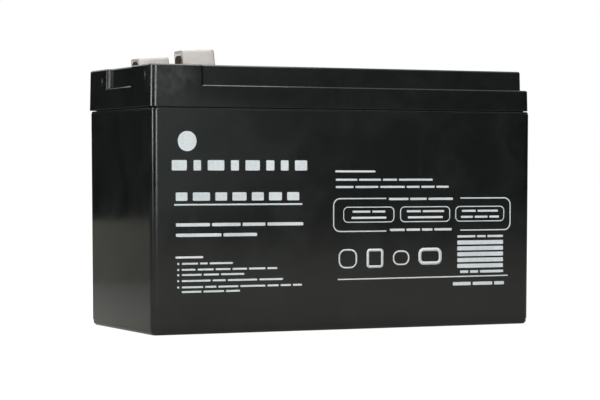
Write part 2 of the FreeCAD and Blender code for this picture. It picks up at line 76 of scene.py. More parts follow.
# Print on the block's long side, along X and Z in millimetres.
# Rows of words: left, right, middle height, bar height, words
WORD_ROWS = [
    (-68.0, -16.4, 58.9, 3.6, 8),
    (-66.5, -19.5, 48.0, 2.9, 7),
    (-66.4, -17.9, 38.2, 1.15, 4),
    (-66.4, -35.8, 34.6, 1.15, 2),
    (-66.6, -56.3, 26.9, 0.7, 1),
    (-64.2, -45.0, 24.7, 0.65, 3),
    (-64.2, -28.0, 22.6, 0.65, 6),
    (-64.2, -40.7, 20.8, 0.65, 3),
    (-64.2, -25.8, 18.7, 0.65, 4),
    (-64.2, -18.4, 16.5, 0.65, 7),
    (-64.2, -42.3, 14.9, 0.65, 3),
    (-5.3, 10.7, 56.8, 0.7, 1),
    (-5.1, 34.1, 53.8, 0.75, 4),
    (-5.1, 40.8, 51.2, 0.75, 6),
    (16.3, 42.6, 46.8, 0.85, 3),
    (16.7, 42.1, 35.6, 0.85, 4),
    (1.6, 14.8, 42.3, 0.75, 2),
    (1.2, 15.2, 40.1, 0.75, 1),
    (23.6, 38.9, 42.3, 0.75, 2),
    (24.0, 38.4, 40.1, 0.75, 1),
    (46.4, 61.6, 42.3, 0.75, 2),
    (46.0, 62.0, 40.1, 0.75, 3),
    (44.5, 63.8, 32.9, 0.8, 3),
    (45.7, 63.9, 19.9, 0.95, 3),
    (42.7, 64.2, 15.5, 1.2, 3),
]
# Filled fields: left, right, bottom, top, corner
FIELDS = [(-65.8, -58.8, 63.8, 70.8, 3.45)]
FIELDS += [(44.5, 63.8, foot, foot + 1.5, 0.3) for foot in (29.9, 27.75, 25.6, 23.45, 21.3)]
FIELDS += [(-65.9, -65.2, middle - 0.35, middle + 0.35, 0.2) for middle in (24.7, 22.6, 20.8, 18.7, 16.5)]
GAP_SHARE = 0.7  # least gap between two words, as a share of their height
# Lines: thickness, corner, closed, then the points
LINES = [
    (0.45, 2.5, False, ((15.2, 47.0), (-5.9, 47.0), (-5.9, 35.2), (15.2, 35.2))),
    (0.45, 2.5, False, ((45.7, 47.0), (66.8, 47.0), (66.8, 35.2), (45.7, 35.2))),
    (0.35, 1.6, True, outline(-1.9, 18.3, 38.5, 43.9)),
    (0.35, 1.6, True, outline(21.0, 41.3, 38.5, 43.9)),
    (0.35, 1.6, True, outline(43.8, 64.1, 38.5, 43.9)),
    (0.6, 0.0, False, ((-67.1, 45.15), (-18.3, 45.15))),
    (0.45, 0.0, False, ((-4.2, 18.0), (65.8, 18.2))),
    (0.55, 2.4, True, outline(-3.6, 3.2, 22.2, 28.6)),
    (0.95, 0.8, True, outline(7.8, 13.6, 22.4, 28.4)),
    (0.55, 2.2, True, outline(18.2, 24.4, 23.0, 27.8)),
    (1.2, 1.6, True, outline(29.0, 37.4, 23.3, 28.3)),
]

# Cards that only reflections see: name, plan of the ends, height, fades and tint, in metres.
# A fade is a low X, a high X, and the glow at each.
DARK = ((0.0, 1.0, 0.02, 0.02),)
EVEN = ((0.0, 1.0, 0.25, 0.25),)
FRONT_FADES = ((0.42, 0.62, 0.36, 0.0), (0.42, 1.15, 0.28, 0.05))
COOL = (0.9, 1.0, 0.98, 1.0)
WARM = (1.0, 0.98, 0.86, 1.0)
CARDS = [
    ("front_card", ((-0.16, -1.5), (2.6, -1.5)), 1.8, FRONT_FADES, COOL),
    ("gap_card", ((-0.42, -1.38), (-1.28, -0.68)), 1.8, DARK, COOL),
    ("left_card", ((-2.2, -0.12), (-2.4, 2.2)), 2.4, DARK, COOL),
    ("rear_card", ((-3.4, 2.2), (1.4, 3.8)), 0.85, DARK, COOL),
    ("right_card", ((2.6, -1.5), (2.9, 2.6)), 1.8, DARK, COOL),
    ("low_strip", ((-0.321, 0.237), (-0.039, 0.339)), 0.0324, EVEN, WARM),
    ("low_card", ((-0.326, 0.251), (-0.044, 0.353)), 0.058, DARK, COOL),
]
# Bead of joint material under the lid: inset from the case's side and drop from its shoulder in millimetres
BEAD_PROFILE = [(0.0, 0.92), (0.0, 0.5), (0.06, 0.2), (0.3, 0.02), (1.2, 0.0), (1.2, 0.92)]
BEAD_CORNER = 2.9
RIM_OVER_SHOULDER = 5.0  # the case's rim stands this far over its shoulder
# Solder over a post's end: share of the post's radius, and height over its end in millimetres
SOLDER_PROFILE = [
    (1.02, -1.1),
    (1.12, -0.8),
    (1.1, -0.3),
    (0.98, 0.25),
    (0.75, 0.65),
    (0.45, 0.9),
    (0.15, 1.0),
]
# Small ribs on the lid's terminal end: across and height in millimetres
RIBS = [(-27.4, 90.0), (17.0, 89.2)]
RIB_SIZE = (0.0008, 0.0032, 0.00045)  # width, height and relief in metres
RIB_DEPTH = 0.00018  # how far the wall leans in where they are

# Black plastic: how much each mark changes the tone, the tone it brings, and how much it dulls the gloss
CLOUD_SHARE = 0.5
CLOUD_LIFT = 2.2  # the clouds' tone is the colour times this, plus the base
CLOUD_BASE = 0.004
CLOUD_DULLING = 0.06
DUST_SHARE = 0.25
DUST_TONE = (0.2, 0.2, 0.19, 1.0)
# Edges are painted lighter: partly wear, partly a painted sheen where edges catch light
WORN_EDGE_SHEEN_SHARE = 0.3
WORN_EDGE_SHEEN_TONE = (0.05, 0.05, 0.05, 1.0)
EDGE_AMOUNT = 0.5
SCRATCH_DULLING = 0.15
# The sheen patch's tone is a painted sheen, a lighter patch on the gloss; its dulling is a real rise in
# roughness
SHEEN_PATCH_SHARE = 0.8
SHEEN_PATCH_TONE = (0.045, 0.047, 0.047, 1.0)
SHEEN_PATCH_DULLING = 0.2
GRAIN_DEPTH = 0.012
# Patch on the lid's long side, painted lighter as a painted sheen and duller in gloss: along and down from its
# corner, and its reach, in metres
SHEEN_PATCH_PLACE = (0.0085, 0.0042, 0.012)
# Pieces of black plastic: material, node, piece, roughness over the least, depth of waves, amount of marks
PLASTIC_PIECES = (
    ("Body Plastic", "case", "block_body", 0.0, 0.7, 0.5),
    ("Lid Plastic", "lid", "block_lid", 0.02, 0.5, 0.6),
    ("Cover Plastic", "valve_cover", "block_cover", 0.12, 0.4, 0.6),
)
# Matt and cast finishes: two tones, roughness, grain and relief in metres, share of metal
FINISHES = {
    "Solder": ((0.62, 0.62, 0.62), (0.5, 0.5, 0.51), 0.22, 0.0009, 0.00005, 1.0),
    "Cast Lead": ((0.36, 0.37, 0.39), (0.22, 0.23, 0.25), 0.5, 0.0008, 0.0001, 1.0),
    "Joint Glue": ((0.006, 0.007, 0.0065), (0.014, 0.015, 0.014), 0.16, 0.002, 0.00008, 0.0),
    "Valve Rubber": ((0.02, 0.02, 0.02), (0.045, 0.045, 0.045), 0.7, 0.0006, 0.0001, 0.0),
    "Red Resin": ((0.35, 0.02, 0.02), (0.45, 0.03, 0.025), 0.2, 0.002, 0.0002, 0.0),
    "Black Resin": ((0.012, 0.012, 0.012), (0.03, 0.03, 0.03), 0.2, 0.002, 0.0002, 0.0),
}
RESINS = {"positive": "Red Resin", "negative": "Black Resin"}
# Plates: two tones of the paste
PASTES = {
    "Positive Paste": ((0.07, 0.035, 0.025), (0.12, 0.06, 0.045)),
    "Negative Paste": ((0.2, 0.21, 0.23), (0.32, 0.33, 0.35)),
}
GRID_TONE = (0.3, 0.31, 0.32, 1.0)

# Panel lights: name, place, point that they face, width and height in metres, and the setting of their power
PANELS = (
    ("Top Light", (0.0, 0.15, 1.1), (0.0, 0.0, 0.08), (0.9, 0.9), "top_light"),
    ("Side Light", (-0.97, -0.3, 0.32), (0.0, 0.0, 0.06), (0.22, 0.56), "side_light"),
    ("Front Light", (-0.2, -1.02, 0.3), (0.0, 0.0, 0.06), (0.2, 0.54), "front_light"),
    ("Notch Light", (-0.477, -0.957, 0.2), (-0.075, 0.0125, 0.09), (0.05, 0.5), "notch_light"),
)
WHITE = (1.0, 1.0, 1.0, 1.0)
FLOOR_REACH = 8.0  # half the floor's side
FLOOR_DROP = 0.0001  # how far it lies under the block
FLOOR_TONE = (0.14, 0.14, 0.14, 1.0)
FLOOR_WHITE = 0.92  # glow that makes it white to the camera
# The floor's glow in reflections: its centre, tint, and a near distance, a far one and the glow at each
GLOW_CENTRE = (-0.05, -0.35, 0.0)
GLOW_TINT = (1.0, 0.96, 0.86, 1.0)
GLOW_FADE = (0.1, 0.8, 0.5, 0.03)
# Camera: place in metres, turn in degrees, sensor and lens in millimetres, nearest and farthest view
CAMERA_PLACE = (-0.339475, -0.730911, 0.055747)
CAMERA_TURN = (90 - 0.680, 0.0, -24.631)
CAMERA_SENSOR = 36.0
CAMERA_LENS = 129.768
CAMERA_VIEW = (0.01, 50.0)


def fill(tree, node, inputs):
    """Set a node's inputs; each may be a value or another node's output."""
    for name, value in inputs.items():
        if isinstance(value, bpy.types.NodeSocket):
            tree.links.new(value, node.inputs[name])
        else:
            node.inputs[name].default_value = value


def add(tree, kind, inputs=None, **options):
    """Make a node, set its options, then its inputs."""
    made = tree.nodes.new(kind)
    for name, value in options.items():
        setattr(made, name, value)
    fill(tree, made, inputs or {})
    return made


def maths(tree, operation, first, second=0.0, third=0.0):
    """Math node of two or three values."""
    made = add(tree, "ShaderNodeMath", {0: first, 1: second, 2: third}, operation=operation)
    return made.outputs[0]


def new_group(name, kind, inputs, outputs):
    """Node group with named sockets; gives its tree, the values given to it, and its output node."""
    tree = bpy.data.node_groups.new(name, kind)
    for direction, sockets in (("INPUT", inputs), ("OUTPUT", outputs)):
        for label, given in sockets.items():
            named = isinstance(given, str)
            socket_type = given if named else KIND_OF_NUMBER[type(given)]
            socket = tree.interface.new_socket(label, in_out=direction, socket_type=socket_type)
            if not named:
                socket.default_value = given
    start, end = tree.nodes.new("NodeGroupInput"), tree.nodes.new("NodeGroupOutput")
    return tree, start.outputs, end


def shape_group(name, inputs):
    """Geometry node group with a shape in and a shape out."""
    shape = {"Geometry": GEOMETRY}
    return new_group(name, "GeometryNodeTree", {**shape, **inputs}, shape)


def shader_group(name, inputs, outputs):
    """Shader node group."""
    return new_group(name, "ShaderNodeTree", inputs, outputs)


def placed(tree, group, inputs):
    """Put a shader group in a tree with its own values."""
    return add(tree, "ShaderNodeGroup", inputs, node_tree=group)


def measure(tree, operation, first, second):
    """Value from two vectors."""
    made = add(tree, "ShaderNodeVectorMath", {0: first, 1: second}, operation=operation)
    return made.outputs["Value"]


def stretched(tree, place, turn, scale):
    """Turned and stretched coordinates."""
    inputs = {"Vector": place, "Rotation": turn, "Scale": scale}
    return add(tree, "ShaderNodeMapping", inputs).outputs[0]


def spread(tree, value, low, high, to_low, to_high):
    """Map Range node."""
    made = add(tree, "ShaderNodeMapRange", {0: value, 1: low, 2: high, 3: to_low, 4: to_high})
    return made.outputs[0]


def mixed(tree, share, first, second):
    """Mix of two colours."""
    return add(tree, "ShaderNodeMix", {0: share, 6: first, 7: second}, data_type="RGBA").outputs[2]


def noise(tree, vector, scale, detail=2.0, roughness=0.5, distortion=0.0):
    """Noise texture's value."""
    inputs = {"Vector": vector, "Scale": scale, "Detail": detail, "Roughness": roughness}
    return add(tree, "ShaderNodeTexNoise", {**inputs, "Distortion": distortion}).outputs[0]


def moulding_group():
    """Moulded plastic: slow waves, fine grain, and cloudy patches where the gloss differs."""
    tree, given, end = shader_group(
        "Moulded Surface",
        {"Vector": VECTOR, "Wave Size": 0.03, "Wave Depth": 0.6, "Grain Size": 0.0008, "Grain Depth": 0.1},
        {"Height": FLOAT, "Clouds": FLOAT},
    )
    wave_scale = maths(tree, "DIVIDE", 1.0, given["Wave Size"])
    grain_scale = maths(tree, "DIVIDE", 1.0, given["Grain Size"])
    waves = noise(tree, given["Vector"], wave_scale, 1.0, 0.4)
    grain = noise(tree, given["Vector"], grain_scale, 3.0, 0.6)
    clouds = noise(tree, given["Vector"], maths(tree, "MULTIPLY", wave_scale, 1.7), 4.0, 0.6, 0.8)
    raised = maths(tree, "MULTIPLY", waves, given["Wave Depth"])
    height = maths(tree, "MULTIPLY_ADD", grain, given["Grain Depth"], raised)
    fill(tree, end, {"Height": height, "Clouds": spread(tree, clouds, 0.38, 0.68, 0.0, 1.0)})
    return tree


def marks_group():
    """Handling marks: fine scratches in two directions, and specks of dust."""
    tree, given, end = shader_group(
        "Handling Marks",
        {"Vector": VECTOR, "Length": 0.012, "Amount": 0.4},
        {"Scratches": FLOAT, "Dust": FLOAT},
    )
    scale = maths(tree, "DIVIDE", 1.0, given["Length"])
    found = []
    for turn, stretch in ((0.5, 26.0), (-0.9, 18.0)):
        drawn = stretched(tree, given["Vector"], (turn, turn * 0.6, turn), (1.0, stretch, stretch))
        lines = noise(tree, drawn, scale, 2.0, 0.4)
        found.append(spread(tree, lines, 0.69, 0.74, 0.0, 1.0))
    both = maths(tree, "MAXIMUM", *found)
    patches = noise(tree, given["Vector"], maths(tree, "MULTIPLY", scale, 0.6), 1.0)
    some = maths(tree, "MULTIPLY", both, spread(tree, patches, 0.4, 0.7, 0.0, 1.0))
    tree.links.new(maths(tree, "MULTIPLY", some, given["Amount"]), end.inputs["Scratches"])
    finer = maths(tree, "MULTIPLY", scale, 9.0)
    cells = add(tree, "ShaderNodeTexVoronoi", {"Vector": given["Vector"], "Scale": finer})
    specks = spread(tree, cells.outputs["Distance"], 0.05, 0.09, 1.0, 0.0)
    tree.links.new(maths(tree, "MULTIPLY", specks, given["Amount"]), end.inputs["Dust"])
    return tree


def edge_group():
    """Edges: where the softened normal leaves the flat one."""
    tree, given, end = shader_group(
        "Edge Wear",
        {"Radius": 0.0004, "Amount": 0.5},
        {"Mask": FLOAT, "Normal": VECTOR},
    )
    soft = add(tree, "ShaderNodeBevel", {"Radius": given["Radius"]}, samples=6)
    flat = tree.nodes.new("ShaderNodeNewGeometry")
    cosine = measure(tree, "DOT_PRODUCT", soft.outputs[0], flat.outputs["Normal"])
    mask = spread(tree, cosine, 0.99, 0.8, 0.0, 1.0)
    tree.links.new(maths(tree, "MULTIPLY", mask, given["Amount"]), end.inputs["Mask"])
    tree.links.new(soft.outputs[0], end.inputs["Normal"])
    return tree


def smudge_group():
    """Cloudy mask round a point, for a patch of painted sheen that is also duller in gloss."""
    tree, given, end = shader_group(
        "Smudge",
        {"Vector": VECTOR, "Centre": VECTOR, "Reach": 0.01},
        {"Mask": FLOAT},
    )
    away = measure(tree, "DISTANCE", given["Vector"], given["Centre"])
    share = maths(tree, "DIVIDE", away, given["Reach"])
    near = spread(tree, share, 0.1, 1.0, 1.0, 0.0)
    clouds = noise(tree, given["Vector"], 260.0, 3.0, 0.5, 0.6)
    patches = spread(tree, clouds, 0.35, 0.65, 0.2, 1.0)
    tree.links.new(maths(tree, "MULTIPLY", near, patches), end.inputs["Mask"])
    return tree


def cleared(owner):
    """Empty node tree of a material or world."""
    owner.use_nodes = True
    owner.node_tree.nodes.clear()
    return owner.node_tree


def start_material(name):
    """Empty material with its shader; gives the tree, the shader and the object coordinates."""
    material = bpy.data.materials.new(name)
    tree = cleared(material)
    shader = tree.nodes.new("ShaderNodeBsdfPrincipled")
    add(tree, "ShaderNodeOutputMaterial", {0: shader.outputs[0]})
    place = tree.nodes.new("ShaderNodeTexCoord").outputs["Object"]
    return material, tree, shader, place


def set_bump(tree, shader, height, depth, normal=None):
    """Feed a height to the shader's normal, over a softened normal if there is one."""
    bump = add(tree, "ShaderNodeBump", {"Height": height, "Strength": 1.0, "Distance": depth})
    if normal is not None:
        tree.links.new(normal, bump.inputs["Normal"])
    tree.links.new(bump.outputs[0], shader.inputs["Normal"])


def black_plastic(name, color, rough, settings, waves, marks, sheen_place=None):
    """Glossy moulded plastic with waves, clouds, scratches, edges painted lighter (partly wear, partly painted
    sheen) and perhaps a patch painted lighter as a painted sheen, and dulled.
    """
    material, tree, shader, place = start_material(name)
    surface = placed(
        tree,
        GROUPS["moulding"],
        {
            "Vector": place,
            "Wave Size": settings.wave_size,
            "Wave Depth": waves,
            "Grain Size": settings.grain_size,
            "Grain Depth": GRAIN_DEPTH,
        },
    )
    used = placed(tree, GROUPS["marks"], {"Vector": place, "Amount": marks})
    edge = placed(tree, GROUPS["edge"], {"Radius": settings.edge_radius, "Amount": EDGE_AMOUNT})
    tone = (*color, 1.0)
    lighter = (*(value * CLOUD_LIFT + CLOUD_BASE for value in color), 1.0)
    # Clouds and dust are tones of the plastic; the edge tone is partly wear and partly a painted sheen on the
    # edges
    for mask, share, other in (
        (surface.outputs["Clouds"], CLOUD_SHARE, lighter),
        (used.outputs["Dust"], DUST_SHARE, DUST_TONE),
        (edge.outputs["Mask"], WORN_EDGE_SHEEN_SHARE, WORN_EDGE_SHEEN_TONE),
    ):
        tone = mixed(tree, maths(tree, "MULTIPLY", mask, share), tone, other)
    gloss = spread(tree, surface.outputs["Clouds"], 0.0, 1.0, rough, rough + CLOUD_DULLING)
    scratched = maths(tree, "MULTIPLY", used.outputs["Scratches"], SCRATCH_DULLING)
    gloss = maths(tree, "ADD", gloss, scratched)
    # The patch is painted lighter, a painted sheen, and its roughness is raised
    if sheen_place:
        centre, reach = sheen_place
        patch = placed(tree, GROUPS["smudge"], {"Vector": place, "Centre": centre, "Reach": reach})
        sheen_and_dull = patch.outputs["Mask"]
        tone = mixed(tree, maths(tree, "MULTIPLY", sheen_and_dull, SHEEN_PATCH_SHARE), tone, SHEEN_PATCH_TONE)
        gloss = maths(tree, "MULTIPLY_ADD", sheen_and_dull, SHEEN_PATCH_DULLING, gloss)
    fill(tree, shader, {"Base Color": tone, "Roughness": gloss})
    set_bump(tree, shader, surface.outputs["Height"], settings.relief, edge.outputs["Normal"])
    return material


def rough_material(name):
    """Matt or cast finish: two tones mixed by a grain that also makes the relief."""
    color, other, rough, grain, depth, metallic = FINISHES[name]
    material, tree, shader, place = start_material(name)
    coarse = noise(tree, place, 1.0 / (grain * 6), 3.0, 0.55)
    fine = noise(tree, place, 1.0 / grain, 4.0, 0.65)
    share = spread(tree, maths(tree, "ADD", coarse, fine), 0.7, 1.3, 0.0, 1.0)
    tone = mixed(tree, share, (*color, 1.0), (*other, 1.0))
    gloss = spread(tree, fine, 0.3, 0.7, rough - 0.08, rough + 0.08)
    fill(tree, shader, {"Base Color": tone, "Roughness": gloss, "Metallic": metallic})
    set_bump(tree, shader, fine, depth)
    return material


def plate_material(name):
    """Pressed paste in a cast grid: rows and columns of grid wires show through the paste."""
    color, other = PASTES[name]
    material, tree, shader, place = start_material(name)
    bars = []
    for scale, axis in ((55.0, "X"), (40.0, "Z")):
        inputs = {"Vector": place, "Scale": scale, "Distortion": 0.3}
        bars.append(add(tree, "ShaderNodeTexWave", inputs, bands_direction=axis).outputs["Fac"])
    grid = maths(tree, "MAXIMUM", *bars)
    grain = noise(tree, place, 1800.0, 4.0, 0.7)
    wires = spread(tree, grid, 0.9, 0.98, 0.0, 0.6)
    tone = mixed(tree, spread(tree, grain, 0.35, 0.65, 0.0, 1.0), (*color, 1.0), (*other, 1.0))
    tone = mixed(tree, wires, tone, GRID_TONE)
    fill(tree, shader, {"Base Color": tone, "Roughness": spread(tree, grain, 0.3, 0.7, 0.75, 0.92)})
    set_bump(tree, shader, maths(tree, "MULTIPLY_ADD", wires, 0.6, grain), 0.0002)
    return material


def mat_material():
    """Felted glass fibre: two crossed layers of drawn-out noise."""
    material, tree, shader, place = start_material("Glass Fibre Felt")
    layers = []
    for turn in (0.4, -0.7):
        drawn = stretched(tree, place, (0.0, turn, 0.0), (1.0, 1.0, 14.0))
        layers.append(noise(tree, drawn, 300.0, 3.0, 0.6))
    fibres = maths(tree, "MAXIMUM", *layers)
    share = spread(tree, fibres, 0.4, 0.7, 0.0, 1.0)
    tone = mixed(tree, share, (0.72, 0.72, 0.68, 1.0), (0.9, 0.9, 0.88, 1.0))
    fill(tree, shader, {"Base Color": tone, "Roughness": spread(tree, fibres, 0.3, 0.8, 0.95, 0.8)})
    set_bump(tree, shader, fibres, 0.0003)
    return material


def terminal_material():
    """Tinned brass: drawn lines along the strip, dulled and warm where the tin is thin."""
    material, tree, shader, place = start_material("Tinned Brass")
    drawn = stretched(tree, place, (0.0, 0.0, 0.0), (1.0, 9.0, 0.6))
    lines = noise(tree, drawn, 700.0, 3.0, 0.6)
    dull = noise(tree, place, 260.0, 3.0, 0.6)
    thin = spread(tree, dull, 0.45, 0.62, 0.0, 1.0)
    tone = mixed(tree, thin, (0.45, 0.4, 0.34, 1.0), (0.3, 0.2, 0.12, 1.0))
    gloss = spread(tree, lines, 0.3, 0.7, 0.25, 0.42)
    fill(tree, shader, {"Base Color": tone, "Roughness": gloss, "Metallic": 1.0})
    edge = placed(tree, GROUPS["edge"], {"Radius": 0.00015, "Amount": 0.5})
    set_bump(tree, shader, lines, 0.00003, edge.outputs["Normal"])
    return material


def cap_material(color):
    """Soft translucent plastic of the terminal caps."""
    material, tree, shader, place = start_material("Cap Plastic")
    surface = placed(
        tree,
        GROUPS["moulding"],
        {"Vector": place, "Wave Size": 0.004, "Wave Depth": 0.4, "Grain Size": 0.0004, "Grain Depth": 0.02},
    )
    darker = tuple(value * 0.94 for value in color)
    tone = mixed(tree, surface.outputs["Clouds"], (*color, 1.0), (*darker, 1.0))
    gloss = spread(tree, surface.outputs["Clouds"], 0.0, 1.0, 0.3, 0.42)
    fill(tree, shader, {"Base Color": tone, "Roughness": gloss, "Transmission Weight": 0.7, "IOR": 1.45})
    set_bump(tree, shader, surface.outputs["Height"], 0.0001)
    return material


def print_material(color):
    """Pale ink, a little thin and uneven."""
    material, tree, shader, place = start_material("Pale Print")
    cover = noise(tree, place, 900.0, 4.0, 0.6)
    patches = noise(tree, place, 60.0, 2.0, 0.5)
    thinner = tuple(value * 0.8 for value in color)
    share = spread(tree, maths(tree, "ADD", cover, patches), 0.8, 1.25, 0.0, 1.0)
    tone = mixed(tree, share, (*thinner, 1.0), (*color, 1.0))
    fill(tree, shader, {"Base Color": tone, "Roughness": spread(tree, cover, 0.3, 0.7, 0.45, 0.6)})
    set_bump(tree, shader, cover, 0.00001)
    return material


def give(node, material):
    """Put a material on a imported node."""
    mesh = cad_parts[node].data
    mesh.materials.clear()
    mesh.materials.append(material)


def link_object(name, mesh):
    """New object at the origin that shows a mesh."""
    made = bpy.data.objects.new(name, mesh)
    bpy.context.scene.collection.objects.link(made)
    return made


def plain(made):
    """Turn an object's evaluated shape into its own mesh and drop its modifiers."""
    bpy.context.view_layer.update()
    seen = made.evaluated_get(bpy.context.evaluated_depsgraph_get())
    mesh = bpy.data.meshes.new_from_object(seen)
    made.modifiers.clear()
    made.data = mesh
    return made


def smooth(shape, angle=32.0):
    """Shade a bmesh smooth, with its edges sharp past an angle in degrees."""
    limit = math.radians(angle)
    for face in shape.faces:
        face.smooth = True
    for edge in shape.edges:
        edge.smooth = len(edge.link_faces) == 2 and edge.calc_face_angle(math.pi) < limit


def shown(name, shape, material):
    """Object from a bmesh, with its material, body and slot."""
    mesh = bpy.data.meshes.new(name)
    shape.to_mesh(mesh)
    shape.free()
    mesh.materials.append(material)
    made = link_object(name, mesh)
    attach(made, "root")
    return made


def welded_copy(name, node, material):
    """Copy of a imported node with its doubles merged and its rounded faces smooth."""
    shape = bmesh.new()
    shape.from_mesh(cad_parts[node].data)
    bmesh.ops.remove_doubles(shape, verts=shape.verts, dist=TINY)
    smooth(shape)
    made = shown(name, shape, material)
    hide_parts(node)
    return made


def cap_box(node):
    """Axes of a packed cap, which leans, and its limits along them."""
    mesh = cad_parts[node].data
    tops = [polygon for polygon in mesh.polygons if polygon.normal.z > 0.9]
    up = max(tops, key=lambda polygon: polygon.area).normal.normalized()
    axes = (Vector((up.z, 0.0, -up.x)), Vector((0.0, 1.0, 0.0)), up)
    spans = []
    for axis in axes:
        reach = [vertex.co.dot(axis) for vertex in mesh.vertices]
        spans.append((min(reach), max(reach)))
    return axes, spans


def cap_piece(name, node, material, settings):
    """Soft cap: three walls and a top, drawn in toward the top, rounded, thick, and open below and at one end.
    """
    axes, ((start, stop), (near, far), (low, top)) = cap_box(node)
    draw = settings.draw
    shape = bmesh.new()

    def corner(along, across, up):
        return shape.verts.new(axes[0] * along + axes[1] * across + axes[2] * up)

    feet = [corner(x, y, low) for x, y in outline(start, stop, near, far)]
    heads = [corner(x, y, top) for x, y in outline(start, stop - draw, near + draw, far - draw)]
    for index in range(3):
        shape.faces.new((feet[index], feet[index + 1], heads[index + 1], heads[index]))
    shape.faces.new(heads)
    closed = feet[1:3], heads[1:3]
    uprights = [edge for edge in shape.edges if edge.verts[0] in closed[0] and edge.verts[1] in closed[1]]
    uprights += [edge for edge in shape.edges if edge.verts[1] in closed[0] and edge.verts[0] in closed[1]]
    bmesh.ops.bevel(shape, geom=uprights, offset=settings.corner, segments=6, profile=0.5, affect="EDGES")

    def at_top(edge):
        return all(abs(vertex.co.dot(axes[2]) - top) < TINY for vertex in edge.verts)

    roof = [edge for edge in shape.edges if len(edge.link_faces) == 2 and at_top(edge)]
    bmesh.ops.bevel(shape, geom=roof, offset=settings.crown, segments=5, profile=0.5, affect="EDGES")
    mesh = bpy.data.meshes.new(name)
    shape.to_mesh(mesh)
    shape.free()
    made = link_object(name, mesh)
    wall = made.modifiers.new("Wall", "SOLIDIFY")
    wall.thickness = settings.wall
    wall.offset = -1.0
    wall.use_even_offset = True
    rim = made.modifiers.new("Rim", "BEVEL")
    rim.width = settings.rim
    rim.segments = 2
    rim.limit_method = "ANGLE"
    rim.angle_limit = math.radians(60)
    plain(made)
    shape = bmesh.new()
    shape.from_mesh(made.data)
    bpy.data.objects.remove(made)
    smooth(shape, 40.0)
    made = shown(name, shape, material)
    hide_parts(node)
    return made


def bridge(shape, rings):
    """Faces between closed rings of vertices, each ring joined to the next."""
    for ring, other in zip(rings, rings[1:]):
        for index in range(len(ring)):
            after = (index + 1) % len(ring)
            shape.faces.new((ring[index], ring[after], other[after], other[index]))


def turned(name, centre, profile, material, steps=40):
    """Round piece from a profile of radius and height, from its foot to the middle of its top."""
    shape = bmesh.new()
    rings = []
    for radius, height in profile:
        ring = []
        for step in range(steps):
            angle = 2 * math.pi * step / steps
            around = Vector((math.cos(angle) * radius, math.sin(angle) * radius, height))
            ring.append(shape.verts.new(centre + around))
        rings.append(ring)
    bridge(shape, rings)
    shape.faces.new(rings[0][::-1])
    shape.faces.new(rings[-1])
    smooth(shape, 60.0)
    return shown(name, shape, material)


def bead_piece(name, node, material):
    """Bead round the joint: fills the shoulder's bevel of the case, under the edge of the lid."""
    low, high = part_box(node)
    shoulder = high.z - RIM_OVER_SHOULDER * MM
    steps = 8
    shape = bmesh.new()
    loops = []
    for inset, drop in BEAD_PROFILE:
        radius = (BEAD_CORNER - inset) * MM
        centres = Vector((high.x - BEAD_CORNER * MM, high.y - BEAD_CORNER * MM, 0.0))
        ring = []
        for quarter, (along, across) in enumerate(((1, 1), (-1, 1), (-1, -1), (1, -1))):
            for step in range(steps + 1):
                angle = math.pi / 2 * (quarter + step / steps)
                x = along * centres.x + math.cos(angle) * radius
                y = across * centres.y + math.sin(angle) * radius
                ring.append(shape.verts.new((x, y, shoulder - drop * MM)))
        loops.append(ring)
    bridge(shape, loops + loops[:1])
    bmesh.ops.recalc_face_normals(shape, faces=shape.faces)
    smooth(shape, 50.0)
    return shown(name, shape, material)


def rib_piece(name, places, size, material):
    """Small upright ribs on the terminal end: each half round, with its ends run out."""
    width, height, relief = size
    arc, rows = 8, 9
    shape = bmesh.new()
    for place in places:
        grid = []
        for row in range(rows):
            share = 2 * row / (rows - 1) - 1
            full = math.sqrt(max(0.0, 1 - share * share))
            line = []
            for step in range(arc + 1):
                angle = math.pi * step / arc
                across = math.cos(angle) * width / 2 * full
                out = math.sin(angle) * relief * full
                line.append(shape.verts.new(place + Vector((-out, across, share * height / 2))))
            grid.append(line)
        bridge(shape, grid)
    bmesh.ops.remove_doubles(shape, verts=shape.verts, dist=1e-7)
    bmesh.ops.dissolve_degenerate(shape, edges=shape.edges, dist=1e-7)
    bmesh.ops.recalc_face_normals(shape, faces=shape.faces)
    smooth(shape, 60.0)
    return shown(name, shape, material)


def front_plane():
    """The case's long side: how its depth Y depends on the height Z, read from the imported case."""
    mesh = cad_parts["case"].data
    low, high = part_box("case")
    front = []
    for polygon in mesh.polygons:
        middle = polygon.center
        if polygon.normal.y < -0.99 and middle.y < low.y + 0.001 and middle.z > low.z + 0.004:
            front.append(polygon)
    widest = max(front, key=lambda polygon: polygon.area)
    points = sorted((mesh.vertices[index].co for index in widest.vertices), key=lambda point: point.z)
    slope = (points[-1].y - points[0].y) / (points[-1].z - points[0].z)
    return points[0].y - slope * points[0].z, slope


def lay_group():
    """Node group that stands a flat print up and lays it on the leaning side."""
    tree, given, end = shape_group("Lay on Side", {"Depth at Foot": 0.0, "Lean": 0.0})
    upright = (math.pi / 2, 0, 0)
    stood = add(tree, "GeometryNodeTransform", {"Geometry": given["Geometry"], "Rotation": upright})
    position = tree.nodes.new("GeometryNodeInputPosition").outputs[0]
    parts = add(tree, "ShaderNodeSeparateXYZ", {0: position})
    depth = maths(tree, "MULTIPLY_ADD", parts.outputs[2], given["Lean"], given["Depth at Foot"])
    moved = add(tree, "ShaderNodeCombineXYZ", {1: depth})
    laid = add(tree, "GeometryNodeSetPosition", {"Geometry": stood.outputs[0], "Offset": moved.outputs[0]})
    tree.links.new(laid.outputs[0], end.inputs[0])
    return tree


def filleted(tree, curve, count, radius):
    """Curve with rounded corners."""
    inputs = {"Curve": curve, "Count": count, "Radius": radius}
    return add(tree, "GeometryNodeFilletCurve", inputs, mode="POLY").outputs[0]


